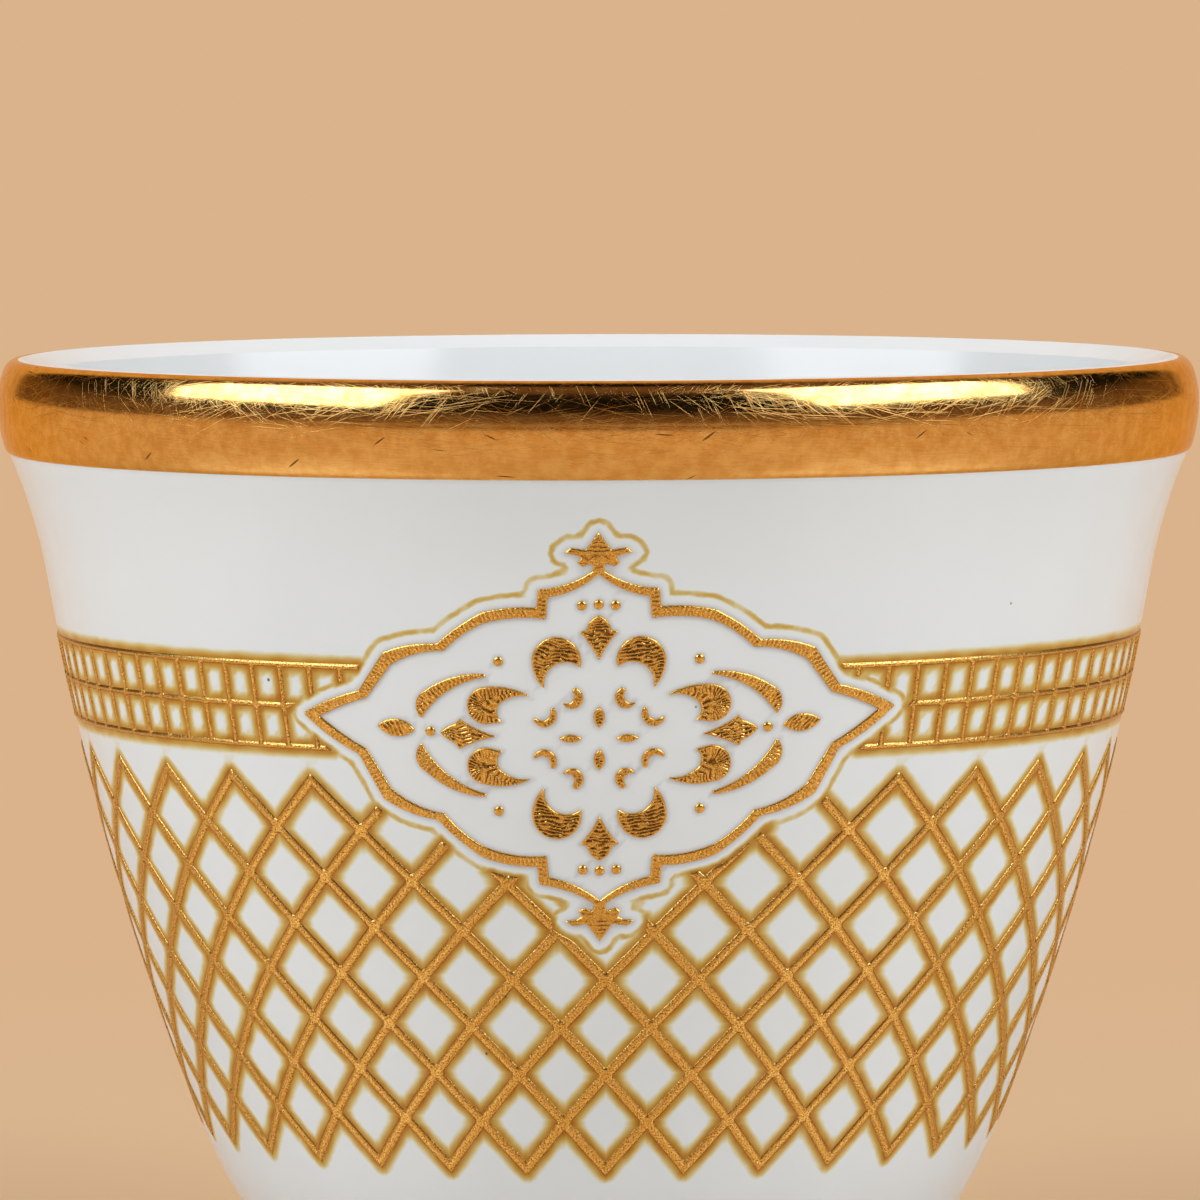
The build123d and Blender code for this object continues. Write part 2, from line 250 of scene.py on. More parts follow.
def seam_chain(node):
    """The section of a turned node in the half plane of +X, in order, as rows of (radius, height)."""
    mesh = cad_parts[node].data
    on_seam = {}
    for vertex in mesh.vertices:
        if abs(vertex.co.y) < SEAM_WIDTH and vertex.co.x > 0:
            on_seam[vertex.index] = (round(vertex.co.x, 7), round(vertex.co.z, 7))
    links = {}
    for edge in mesh.edges:
        first, last = edge.vertices
        if first in on_seam and last in on_seam and on_seam[first] != on_seam[last]:
            links.setdefault(on_seam[first], set()).add(on_seam[last])
            links.setdefault(on_seam[last], set()).add(on_seam[first])
    ends = [place for place, joined in links.items() if len(joined) == 1]
    place = min(ends or links, key=lambda spot: spot[1])
    chain = [place]
    while True:
        onward = [spot for spot in sorted(links[place]) if spot not in chain]
        if not onward:
            return np.array(chain)
        place = onward[0]
        chain.append(place)


def turns(points, closed):
    """How far a line of points turns at each of them, in radians."""
    before = np.roll(points, 1, axis=0)
    after = np.roll(points, -1, axis=0)
    arriving = points - before
    leaving = after - points
    cross = arriving[:, 0] * leaving[:, 1] - arriving[:, 1] * leaving[:, 0]
    turn = np.abs(np.arctan2(cross, (arriving * leaving).sum(1)))
    if not closed:
        turn[0] = math.pi
        turn[-1] = math.pi
    return turn


def smooth_stretch(points, step):
    """Even points on a smooth curve through the given ones."""
    lengths = np.concatenate([[0], np.cumsum(np.hypot(*np.diff(points, axis=0).T))])
    count = max(1, math.ceil(lengths[-1] / step))
    samples = np.linspace(0, lengths[-1], count + 1)
    if len(points) < 3:
        return np.column_stack([np.interp(samples, lengths, points[:, axis]) for axis in (0, 1)])
    slopes = np.gradient(points, lengths, axis=0, edge_order=2)
    low, high = points.min(0), points.max(0)
    index = np.clip(np.searchsorted(lengths, samples, "right") - 1, 0, len(points) - 2)
    width = (lengths[index + 1] - lengths[index])[:, None]
    share = (samples - lengths[index])[:, None] / width
    start, end = points[index], points[index + 1]
    start_slope, end_slope = slopes[index] * width, slopes[index + 1] * width
    curve = (
        start * (1 + 2 * share) * (1 - share) ** 2
        + start_slope * share * (1 - share) ** 2
        + end * share ** 2 * (3 - 2 * share)
        + end_slope * share ** 2 * (share - 1)
    )
    return np.clip(curve, low, high)


def smooth_chain(points, step):
    """A smooth, even version of an open chain, with its corners kept."""
    corners = np.flatnonzero(turns(points, False) > CORNER_TURN)
    stretches = [smooth_stretch(points[first:last + 1], step) for first, last in zip(corners, corners[1:])]
    return np.concatenate([stretch[:-1] for stretch in stretches] + [points[-1:]])


def thin_out(chain, step):
    """A chain with rows left out where it carries no ornament, but none at its bends."""
    turn = turns(chain, False)
    kept = [0]
    run, bend = 0.0, 0.0
    for place in range(1, len(chain)):
        run += math.hypot(*(chain[place] - chain[place - 1]))
        bend += turn[place]
        ornament = ORNAMENT_LEVELS[0] < chain[place, 1] < ORNAMENT_LEVELS[1]
        if ornament or run > step or bend > CORNER_TURN / 2 or place == len(chain) - 1:
            kept.append(place)
            run, bend = 0.0, 0.0
    return chain[kept]


def finish_mesh(name, vertices, faces, face_uvs):
    """A shaded mesh object with a map of the surface in millimetres."""
    mesh = bpy.data.meshes.new(name)
    mesh.from_pydata(vertices.tolist(), [], faces)
    layer = mesh.uv_layers.new(name="surface")
    layer.data.foreach_set("uv", np.asarray(face_uvs, np.float32).ravel())
    mesh.polygons.foreach_set("use_smooth", [True] * len(mesh.polygons))
    piece = bpy.data.objects.new(name, mesh)
    bpy.context.scene.collection.objects.link(piece)
    return piece


def lathe(name, chain, closed):
    """A surface of revolution about Z from a chain of (radius, height)."""
    if closed:
        chain = np.concatenate([chain, chain[:1]])
    rows = len(chain)
    angles = np.linspace(0, 2 * math.pi, COLUMNS, endpoint=False)
    radius, height = chain[:, 0][:, None], chain[:, 1][:, None]
    vertices = np.stack([
        radius * np.cos(angles),
        radius * np.sin(angles),
        np.broadcast_to(height, (rows, COLUMNS)),
    ], axis=-1).reshape(-1, 3)
    row, column = (grid.ravel() for grid in np.mgrid[0:rows - 1, 0:COLUMNS])
    following = (column + 1) % COLUMNS
    faces = np.column_stack([
        row * COLUMNS + column,
        row * COLUMNS + following,
        (row + 1) * COLUMNS + following,
        (row + 1) * COLUMNS + column,
    ])
    along = np.concatenate([[0], np.cumsum(np.hypot(*np.diff(chain, axis=0).T))]) / MM
    around = chain[:, 0].max() * 2 * math.pi / COLUMNS / MM
    uvs = np.stack([
        np.column_stack([column * around, along[row]]),
        np.column_stack([(column + 1) * around, along[row]]),
        np.column_stack([(column + 1) * around, along[row + 1]]),
        np.column_stack([column * around, along[row + 1]]),
    ], axis=1)
    piece = finish_mesh(name, vertices, faces.tolist(), uvs)
    shell = bmesh.new()
    shell.from_mesh(piece.data)
    bmesh.ops.remove_doubles(shell, verts=shell.verts, dist=MESH_WELD)
    bmesh.ops.recalc_face_normals(shell, faces=shell.faces)
    shell.to_mesh(piece.data)
    shell.free()
    piece.data.set_sharp_from_angle(angle=SHARP_TURN)
    return piece


# Porcelain profile: from the axis under the foot, round the lip, and back to the axis on the floor.
body_seam = seam_chain("cup_body")
if body_seam[0, 1] > body_seam[-1, 1]:
    body_seam = body_seam[::-1]
crest = int(body_seam[:, 1].argmax())
under_axis = np.array([[0, body_seam[0, 1]]])
floor_axis = np.array([[0, body_seam[-1, 1]]])
outside = smooth_chain(np.concatenate([under_axis, body_seam[:crest + 1]]), ORNAMENT_ROW)
inside = smooth_chain(np.concatenate([body_seam[crest:], floor_axis]), INNER_ROW)

# The outer wall above the foot, as tables of height, radius and length along it.
foot_rows = int(np.argmax(outside[:, 0] > body_seam[0, 0] * WALL_START))
wall_rows = outside[foot_rows:]
foot_chain = thin_out(outside[:foot_rows], PLAIN_ROW)
body_chain = np.concatenate([foot_chain, thin_out(wall_rows, PLAIN_ROW), inside[1:]])
wall_z = wall_rows[:, 1]
wall_r = wall_rows[:, 0]
wall_length = np.concatenate([[0], np.cumsum(np.hypot(*np.diff(wall_rows, axis=0).T))])
wall_slope_r = np.gradient(wall_r, wall_length)
wall_slope_z = np.gradient(wall_z, wall_length)


def place_on_wall(angle, length, height):
    """Points at a height above the outer wall, from their angle and their length along it."""
    radius = np.interp(length, wall_length, wall_r) + height * np.interp(length, wall_length, wall_slope_z)
    level = np.interp(length, wall_length, wall_z) - height * np.interp(length, wall_length, wall_slope_r)
    return np.column_stack([radius * np.cos(angle), radius * np.sin(angle), level])


def footprint(node, side):
    """The face of a gold node that lies on the porcelain, cut at y = 0 where a side is asked for."""
    patch = bmesh.new()
    patch.from_mesh(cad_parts[node].data)
    bmesh.ops.remove_doubles(patch, verts=patch.verts, dist=NODE_WELD)
    lifted = {
        vertex for vertex in patch.verts
        if math.hypot(vertex.co.x, vertex.co.y) - np.interp(vertex.co.z, wall_z, wall_r) > ON_WALL
    }
    others = [face for face in patch.faces if lifted.intersection(face.verts)]
    bmesh.ops.delete(patch, geom=others, context="FACES")
    if side:
        everything = patch.verts[:] + patch.edges[:] + patch.faces[:]
        bmesh.ops.bisect_plane(patch, geom=everything, dist=NODE_WELD, plane_co=(0, 0, 0),
                               plane_no=(0, -side, 0), clear_outer=True)
    return patch


def outline_loops(patch, middle_angle, middle_radius):
    """The outlines of a footprint on the unrolled wall, as (across, along) in millimetres."""
    def unroll(vertex):
        turn = math.atan2(vertex.co.y, vertex.co.x) - middle_angle
        turn = (turn + math.pi) % (2 * math.pi) - math.pi
        return (turn * middle_radius / MM, np.interp(vertex.co.z, wall_z, wall_length) / MM)

    edges = {edge for edge in patch.edges if len(edge.link_faces) == 1}
    loops = []
    for first_edge in sorted(edges, key=lambda edge: edge.index):
        if first_edge not in edges:
            continue
        edges.discard(first_edge)
        start, vertex = first_edge.verts
        loop = [start]
        inside_point = np.mean([unroll(corner) for corner in first_edge.link_faces[0].verts], axis=0)
        while vertex is not start:
            loop.append(vertex)
            onward = [edge for edge in vertex.link_edges if edge in edges]
            if not onward:
                break
            edges.discard(onward[0])
            vertex = onward[0].other_vert(vertex)
        points = np.array([unroll(corner) for corner in loop])
        heading = points[1] - points[0]
        inward = inside_point - points[0]
        if heading[0] * inward[1] - heading[1] * inward[0] < 0:
            points = points[::-1]
        loops.append(points)
    return loops


def even_loop(points, spacing):
    """A loop with even points, and its corners kept."""
    corners = np.flatnonzero(turns(points, True) > OUTLINE_CORNER)
    if len(corners) == 0:
        corners = np.array([0])
    points = np.roll(points, -corners[0], axis=0)
    corners = np.append(corners - corners[0], len(points))
    points = np.concatenate([points, points[:1]])
    result = []
    for first, last in zip(corners, corners[1:]):
        stretch = points[first:last + 1]
        lengths = np.concatenate([[0], np.cumsum(np.hypot(*np.diff(stretch, axis=0).T))])
        count = max(1, round(lengths[-1] / spacing))
        if len(corners) == 2:
            count = max(count, ROUND_LOOP_POINTS)
        samples = np.linspace(0, lengths[-1], count, endpoint=False)
        result.append(np.column_stack([np.interp(samples, lengths, stretch[:, axis]) for axis in (0, 1)]))
    return np.concatenate(result)


class Outline:
    """The outlines of one footprint, with the distance to them from any point of the unrolled wall."""

    def __init__(self, loops, spacing, cut):
        self.points, self.next_index, self.along, self.loops = [], [], [], []
        for loop in loops:
            loop = even_loop(loop, spacing)
            first = len(self.points)
            self.loops.append(slice(first, first + len(loop)))
            step = np.hypot(*(np.roll(loop, -1, axis=0) - loop).T)
            self.points.extend(loop.tolist())
            self.next_index.extend([first + (place + 1) % len(loop) for place in range(len(loop))])
            self.along.extend(np.concatenate([[0], np.cumsum(step)[:-1]]).tolist())
        self.points = np.array(self.points)
        self.next_index = np.array(self.next_index)
        self.along = np.array(self.along)
        self.ends = self.points[self.next_index]
        on_cut = np.abs(np.abs(self.points[:, 0]) - cut) < CUT_WIDTH
        self.real = ~(on_cut & on_cut[self.next_index])
        self.tree = kdtree.KDTree(2 * int(self.real.sum()))
        for place in np.flatnonzero(self.real):
            for spot in (self.points[place], (self.points[place] + self.ends[place]) / 2):
                self.tree.insert((spot[0], spot[1], 0), int(place))
        self.tree.balance()

    def outer_loop(self):
        """The loop that reaches furthest across."""
        return max(self.loops, key=lambda loop: np.ptp(self.points[loop, 0]))

    def measure(self, spots):
        """The distance to the nearest outline, and the length along it to the nearest place."""
        nearest = np.array([self.tree.find((x, y, 0))[1] for x, y in spots])
        before = np.zeros(len(self.points), int)
        before[self.next_index] = np.arange(len(self.points))
        distance = np.full(len(spots), np.inf)
        along = np.zeros(len(spots))
        for place in (nearest, before[nearest], self.next_index[nearest]):
            start = self.points[place]
            run = self.ends[place] - start
            share = np.clip(((spots - start) * run).sum(1) / (run ** 2).sum(1), 0, 1)
            gap = np.hypot(*(spots - start - run * share[:, None]).T)
            closer = (gap < distance) & self.real[place]
            distance[closer] = gap[closer]
            along[closer] = (self.along[place] + share * np.hypot(*run.T))[closer]
        return distance, along

    def rings(self, distances, spacing):
        """Points inside the outline at the given distances from it, at most one to a cell of the spacing."""
        run = (self.ends - self.points)[self.real]
        square = np.column_stack([-run[:, 1], run[:, 0]]) / np.hypot(*run.T)[:, None]
        middle = ((self.points + self.ends) / 2)[self.real]
        taken = set()
        kept = []
        for distance in distances:
            spots = middle + square * distance
            gap, _ = self.measure(spots)
            for spot in spots[gap > RING_FULL * distance]:
                cell = (math.floor(spot[0] / spacing), math.floor(spot[1] / spacing))
                if cell not in taken:
                    taken.add(cell)
                    kept.append(spot)
        return np.array(kept)


def triangles(points, outline):
    """The triangles between the outlines, with every given point as a corner and the holes left open.

    A triangle on the left of an outline edge is gold, and one on its right is not. The others take after
    the neighbours that they share an inner edge with.
    """
    edges = list(enumerate(outline.next_index.tolist()))
    found = geometry.delaunay_2d_cdt([Vector(point) for point in points], edges, [], 1, TRIANGLE_JOIN)
    origin = np.array([ids[0] for ids in found[3]])
    faces = origin[np.array(found[2])]
    corner = points[faces]
    first_run, last_run = corner[:, 1] - corner[:, 0], corner[:, 2] - corner[:, 0]
    clockwise = first_run[:, 0] * last_run[:, 1] < first_run[:, 1] * last_run[:, 0]
    faces[clockwise] = faces[clockwise][:, ::-1]
    following = np.full(len(points), -1)
    following[:len(outline.next_index)] = outline.next_index
    side = np.zeros(len(faces), int)
    shared = {}
    neighbours = []
    for start, end in ((0, 1), (1, 2), (2, 0)):
        onward = following[faces[:, start]] == faces[:, end]
        backward = following[faces[:, end]] == faces[:, start]
        side[onward] = 1
        side[backward] = -1
        for face in np.flatnonzero(~onward & ~backward).tolist():
            edge = tuple(sorted((int(faces[face, start]), int(faces[face, end]))))
            if edge in shared:
                neighbours.append((shared[edge], face))
            shared[edge] = face
    pairs = np.array(neighbours)
    pairs = np.concatenate([pairs, pairs[:, ::-1]])
    while True:
        news = (side[pairs[:, 0]] != 0) & (side[pairs[:, 1]] == 0)
        if not news.any():
            break
        side[pairs[news, 1]] = side[pairs[news, 0]]
    return [tuple(face) for face in faces[side == 1].tolist()]


def relief_patch(node, kind, middle_angle, side):
    """The places, faces and unrolled map of one raised gold layer, with a flat underside in the glaze."""
    patch = footprint(node, side)
    levels = [np.interp(vertex.co.z, wall_z, wall_r) for vertex in patch.verts]
    middle_radius = float(np.mean(levels))
    cut = math.pi / 2 * middle_radius / MM if side else math.inf
    outline = Outline(outline_loops(patch, middle_angle, middle_radius), kind["spacing"], cut)
    patch.free()
    ring = kind["ring"]
    rings = outline.rings(np.arange(ring, kind["reach"], ring), ring * RING_CROWDING)
    points = np.concatenate([outline.points, rings])
    edge_count = len(outline.points)
    distance, along = outline.measure(points)
    height, groove = kind["shape"](points, distance, along)
    height[:edge_count] = np.where(outline.real | outline.real[np.argsort(outline.next_index)],
                                   -EDGE_SINK, height[:edge_count])
    angle = middle_angle + points[:, 0] * MM / middle_radius
    top = place_on_wall(angle, points[:, 1] * MM, height)
    sunk = np.full(edge_count, -UNDERSIDE_SINK)
    under = place_on_wall(angle[:edge_count], points[:edge_count, 1] * MM, sunk)
    top_faces = triangles(points, outline)
    under_faces = [tuple(len(points) + corner for corner in reversed(face))
                   for face in triangles(outline.points, outline)]
    side_faces = []
    for place in np.flatnonzero(outline.real):
        after = int(outline.next_index[place])
        side_faces.append((int(place), len(points) + int(place), len(points) + after, after))
    places = np.concatenate([top, under])
    flat = np.concatenate([points, outline.points])
    grooves = np.concatenate([groove, np.zeros(edge_count)])
    outline.places = top[:edge_count]
    outline.middle = (middle_angle, middle_radius)
    return places, top_faces + under_faces + side_faces, flat, grooves, outline


def rounded(distance, width):
    """A quarter-round edge that rises from 0 to 1 over a width."""
    share = np.clip(distance / width, 0, 1)
    return np.sqrt(1 - (1 - share) ** 2)


def soft_step(value, low, high):
    """A smooth rise from 0 to 1 between two values."""
    share = np.clip((value - low) / (high - low), 0, 1)
    return share * share * (3 - 2 * share)


def wander(points, size, shift):
    """Uneven drift over the unrolled wall, about -1 to 1. The shift picks one layer of the noise."""
    return np.array([noise.noise(Vector((x / size, y / size, shift))) for x, y in points])


def plain_gold(edge_dark):
    """A hammered bar with soft edges that hold some brown colour."""
    def shape(points, distance, along):
        dents = DENT_DEPTH * wander(points, DENT_SIZE, 3.1)
        height = BAR_HEIGHT * soft_step(distance, *BAR_SHOULDER) * (1 + dents)
        return height, edge_dark * (1 - soft_step(distance, 0.0, BAR_STAIN))
    return shape


def ribbed_gold(pitch, depth, dark, rim, slant=None, level_beyond=math.inf):
    """A layer with engraved ribs inside a plain rim.

    The ribs run square to the outline, or at a slant in degrees from level, and level far from the middle.
    Their depth is a share of the gold's height, and dark is how much brown colour they hold.
    """
    def shape(points, distance, along):
        drift = RIB_SLOW_DRIFT * pitch * wander(points, RIB_SLOW_SIZE, 7.7)
        drift += RIB_QUICK_DRIFT * pitch * wander(points, RIB_QUICK_SIZE, 1.3)
        height_above = points[:, 1] - (points[:, 1].min() + points[:, 1].max()) / 2
        if slant is None:
            course = np.where(np.abs(height_above) > level_beyond, points[:, 1], along)
        else:
            mirrored = np.abs(points[:, 0])
            course = points[:, 1] * math.cos(math.radians(slant)) - mirrored * math.sin(math.radians(slant))
            drift += RIB_BEND * wander(points, RIB_BEND_SIZE, 2.9)
        wave = 0.5 - 0.5 * np.cos(2 * math.pi * (course + drift) / pitch)
        whole = soft_step(wander(points, GROOVE_PATCH_SIZE, 5.5), *GROOVE_PATCH_RANGE)
        groove = wave ** GROOVE_SHARPNESS * soft_step(distance, rim, rim + GROOVE_START)
        groove *= GROOVE_LEAST + (1 - GROOVE_LEAST) * whole
        height = GOLD_HEIGHT * rounded(distance, RIBBED_EDGE) * (1 - depth * groove)
        return height, groove * dark
    return shape


def domed_gold(points, distance, along):
    """A drop of gold, highest in its middle."""
    return DROP_HEIGHT * rounded(distance, DROP_EDGE), np.zeros(len(points))


def kind(spacing, ring, reach, shape):
    """How one kind of ornament is meshed, in millimetres, and shaped."""
    return {"spacing": spacing, "ring": ring, "reach": reach, "shape": shape}


# Each kind has its outline spacing, ring spacing and ring reach. Ribs have a pitch, a depth, a darkness
# and a plain rim, and bars have a darkness at their edges.
KINDS = {
    "frame": kind(0.05, 0.042, 0.7, ribbed_gold(0.21, 0.4, 0.42, 0.04, level_beyond=8.3)),
    "petals": kind(0.034, 0.032, 0.9, ribbed_gold(0.18, 0.55, 0.82, 0.08, slant=8)),
    "horns": kind(0.034, 0.032, 0.9, ribbed_gold(0.2, 0.55, 0.8, 0.06)),
    "scrolls": kind(0.045, 0.04, 0.5, ribbed_gold(0.22, 0.5, 0.5, 0.04)),
    "kites": kind(0.034, 0.032, 0.7, ribbed_gold(0.18, 0.55, 0.76, 0.08, slant=5)),
    "leaves": kind(0.04, 0.038, 0.6, ribbed_gold(0.22, 0.5, 0.5, 0.05, slant=60)),
    "hooks": kind(0.04, 0.038, 0.4, ribbed_gold(0.22, 0.4, 0.6, 0.07)),
    "lozenges": kind(0.04, 0.038, 0.4, ribbed_gold(0.22, 0.4, 0.6, 0.07)),
    "dots": kind(0.05, 0.05, 0.3, domed_gold),
    "ladder": kind(0.12, 0.05, 0.16, plain_gold(0.5)),
    "lattice": kind(0.15, 0.08, 0.5, plain_gold(0.5)),
}


def relief(node, kind_name, patches):
    """One piece of raised gold, from one or more patches of (middle angle, side)."""
    all_places, all_faces, all_flat, all_grooves, outlines = [], [], [], [], []
    count = 0
    for middle_angle, side in patches:
        places, faces, flat, grooves, outline = relief_patch(node, KINDS[kind_name], middle_angle, side)
        all_faces += [tuple(corner + count for corner in face) for face in faces]
        all_places.append(places)
        all_flat.append(flat)
        all_grooves.append(grooves)
        outlines.append(outline)
        count += len(places)
    places = np.concatenate(all_places)
    flat = np.concatenate(all_flat)
    corner_list = np.concatenate([np.array(face) for face in all_faces])
    piece = finish_mesh(f"gold_{node}", places, all_faces, flat[corner_list])
    groove = piece.data.attributes.new("groove", "FLOAT", "POINT")
    groove.data.foreach_set("value", np.concatenate(all_grooves).astype(np.float32))
    shell = bmesh.new()
    shell.from_mesh(piece.data)
    bmesh.ops.remove_doubles(shell, verts=shell.verts, dist=MESH_WELD)
    bmesh.ops.recalc_face_normals(shell, faces=shell.faces)
    shell.to_mesh(piece.data)
    shell.free()
    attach(piece, "root")
    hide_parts(node)
    return piece, outlines


# Porcelain and rim
porcelain = lathe("porcelain_body", body_chain, False)
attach(porcelain, "root")
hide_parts("cup_body")

rim_seam = seam_chain("rim_band")
rim_seam = np.concatenate([rim_seam, rim_seam[:1]])
rim_chain = smooth_chain(rim_seam, RIM_ROW)[:-1]
lip_seam = body_seam[body_seam[:, 1] > LIP_START]
lip_wall = smooth_chain(lip_seam, LIP_STEP)


def feather(chain):
    """The rim's section with its gold thinned out, and sunk in the glaze beyond its ends."""
    bottom = chain[:, 1].min()
    run = np.gradient(lip_wall, axis=0)
    square = np.column_stack([run[:, 1], -run[:, 0]]) / np.hypot(*run.T)[:, None]
    result = []
    for radius, level in chain:
        gap = np.hypot(lip_wall[:, 0] - radius, lip_wall[:, 1] - level)
        nearest = gap.argmin()
        thickness = gap[nearest]
        above_low_end = lip_wall[nearest, 1] - bottom - RIM_LOW_END
        before_crest_end = math.hypot(*(lip_wall[nearest] - body_seam[crest])) - RIM_CREST_END
        if thickness < RIM_FEATHER_EDGE:
            lift = -RIM_UNDERSIDE
        elif min(above_low_end, before_crest_end) < 0:
            lift = -RIM_UNDERSIDE / 2
        else:
            share = min(above_low_end / RIM_LOW_FEATHER, before_crest_end / RIM_CREST_FEATHER, 1)
            lift = RIM_FEATHER_EDGE + (thickness - RIM_FEATHER_EDGE) * math.sqrt(1 - (1 - share) ** 2)
        result.append(lip_wall[nearest] + square[nearest] * lift)
    return np.minimum(result, chain.max(0))


rim_gold = lathe("gold_rim_band", feather(rim_chain), True)
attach(rim_gold, "root")
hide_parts("rim_band")

# Raised gold
bars = {}
bars["diamond_lattice"] = relief("diamond_lattice", "lattice", [(FACES["front"], -1), (FACES["back"], 1)])
bars["ladder_band_left"] = relief("ladder_band_left", "ladder", [(math.pi, 0)])
bars["ladder_band_right"] = relief("ladder_band_right", "ladder", [(0.0, 0)])
ornaments = {}
for face_name, face_angle in FACES.items():
    for ornament in ORNAMENTS:
        node = f"{face_name}_{ornament}"
        ornaments[node] = relief(node, ornament, [(face_angle, 0)])


def tree_of(places):
    """A search tree of points."""
    tree = kdtree.KDTree(len(places))
    for index, place in enumerate(places):
        tree.insert(place, index)
    tree.balance()
    return tree


def within(spots, loop):
    """Which spots of the unrolled wall lie inside a loop."""
    result = np.zeros(len(spots), bool)
    for start, end in zip(loop, np.roll(loop, -1, axis=0)):
        crosses = (start[1] > spots[:, 1]) != (end[1] > spots[:, 1])
        if crosses.any():
            level = spots[crosses, 1]
            across = start[0] + (level - start[1]) / (end[1] - start[1]) * (end[0] - start[0])
            result[crosses] ^= spots[crosses, 0] < across
    return result


wall_places = np.empty(len(porcelain.data.vertices) * 3)
porcelain.data.vertices.foreach_get("co", wall_places)
wall_places = wall_places.reshape(-1, 3)
ring_radius = np.hypot(wall_places[:, 0], wall_places[:, 1])
on_outer_wall = np.abs(ring_radius - np.interp(wall_places[:, 2], wall_z, wall_r)) < ON_WALL
on_outer_wall &= (wall_places[:, 2] > ORNAMENT_LEVELS[0]) & (wall_places[:, 2] < ORNAMENT_LEVELS[1])


def store_gap(name, gap):
    """Stores a distance in millimetres on the points of the porcelain."""
    attribute = porcelain.data.attributes.new(name, "FLOAT", "POINT")
    attribute.data.foreach_set("value", gap.astype(np.float32))


def gap_to_gold(reliefs):
    """How far each point of the ornamented wall lies from the edge of some gold, less than 0 under it."""
    edges = np.concatenate([outline.places[outline.real] for _, outlines in reliefs for outline in outlines])
    edge_tree = tree_of(edges)
    covers = []
    for piece, _ in reliefs:
        corners = [vertex.co for vertex in piece.data.vertices]
        covers.append(bvhtree.BVHTree.FromPolygons(corners, [face.vertices for face in piece.data.polygons]))
    gap = np.full(len(wall_places), FAR_GAP)
    for index in np.flatnonzero(on_outer_wall):
        place = Vector(wall_places[index])
        outward = Vector((place.x, place.y, 0)).normalized()
        gap[index] = edge_tree.find(place)[2] / MM
        start = place + outward * LOOK_START
        if any(cover.ray_cast(start, -outward, LOOK_LENGTH)[0] for cover in covers):
            gap[index] = -gap[index]
    return gap


def gap_to_frames(reliefs):
    """How far each point of the ornamented wall lies outside the nearest frame, less than 0 inside it."""
    gap = np.full(len(wall_places), FAR_GAP)
    rows = np.flatnonzero(on_outer_wall)
    for _, outlines in reliefs:
        outline = outlines[0]
        loop = outline.outer_loop()
        tree = tree_of(outline.places[loop])
        distance = np.array([tree.find(place)[2] for place in wall_places[rows]]) / MM
        middle_angle, middle_radius = outline.middle
        turn = np.arctan2(wall_places[rows, 1], wall_places[rows, 0]) - middle_angle
        turn = (turn + math.pi) % (2 * math.pi) - math.pi
        along = np.interp(wall_places[rows, 2], wall_z, wall_length) / MM
        spots = np.column_stack([turn * middle_radius / MM, along])
        distance[within(spots, outline.points[loop])] *= -1
        gap[rows] = np.minimum(gap[rows], distance)
    return gap


frames = [ornaments["front_frame"], ornaments["back_frame"]]
store_gap("bar_gap", gap_to_gold(list(bars.values())))
store_gap("ornament_gap", gap_to_gold(list(ornaments.values())))
store_gap("frame_gap", gap_to_frames(frames))


class Shader:
    """A new material, or a node tree that exists, with a short way to add nodes to it."""

    def __init__(self, name, tree=None):
        if tree is None:
            self.material = bpy.data.materials.new(name)
            self.material.use_nodes = True
            tree = self.material.node_tree
        self.tree = tree
        self.surface = tree.nodes.get("Principled BSDF")

    def node(self, kind, settings=None, **inputs):
        """A node with its settings, its socket values and its links."""
        made = self.tree.nodes.new(kind)
        for key, value in (settings or {}).items():
            setattr(made, key, value)
        for key, value in inputs.items():
            numbered = key[0] == "i" and key[1:].isdigit()
            self.set(made, int(key[1:]) if numbered else key.replace("_", " "), value)
        return made

    def set(self, node, socket, value):
        """Sets a socket to a number or colour, or links it."""
        if isinstance(value, bpy.types.NodeSocket):
            self.tree.links.new(value, node.inputs[socket])
        else:
            node.inputs[socket].default_value = value

    def surface_map(self):
        """The millimetre map of the surface."""
        return self.node("ShaderNodeUVMap", {"uv_map": "surface"}).outputs[0]

    def attribute(self, name):
        """A number stored on the mesh."""
        return self.node("ShaderNodeAttribute", {"attribute_name": name}).outputs["Fac"]

    def noise(self, vector, scale, detail=2.0, roughness=0.5):
        """Noise over a map, from 0 to 1."""
        made = self.node("ShaderNodeTexNoise", Vector=vector, Scale=scale, Detail=detail,
                         Roughness=roughness)
        return made.outputs["Fac"]

    def strokes(self, vector, slant, length, width):
        """A map turned by a slant in degrees, and counted in lengths and widths of a stroke."""
        made = self.node("ShaderNodeMapping", {"vector_type": "TEXTURE"}, Vector=vector)
        made.inputs["Rotation"].default_value = (0, 0, math.radians(slant))
        made.inputs["Scale"].default_value = (length, width, 1)
        return made.outputs[0]

    def fade(self, value, low, high, start=0.0, end=1.0):
        """A smooth change from start to end as a value goes from low to high."""
        made = self.node("ShaderNodeMapRange", {"interpolation_type": "SMOOTHSTEP"},
                         i0=value, i1=low, i2=high, i3=start, i4=end)
        return made.outputs[0]

    def math(self, operation, first, second):
        """One sum on two values."""
        return self.node("ShaderNodeMath", {"operation": operation}, i0=first, i1=second).outputs[0]

    def blend(self, share, first, second):
        """A colour between two colours."""
        made = self.node("ShaderNodeMix", {"data_type": "RGBA"}, i0=share)
        self.set(made, 6, first if isinstance(first, bpy.types.NodeSocket) else (*first, 1))
        self.set(made, 7, second if isinstance(second, bpy.types.NodeSocket) else (*second, 1))
        return made.outputs[2]

    def bump(self, height, depth, strength=1.0):
        """Fine relief, with a depth in metres."""
        made = self.node("ShaderNodeBump", Height=height, Distance=depth, Strength=strength)
        return made.outputs[0]


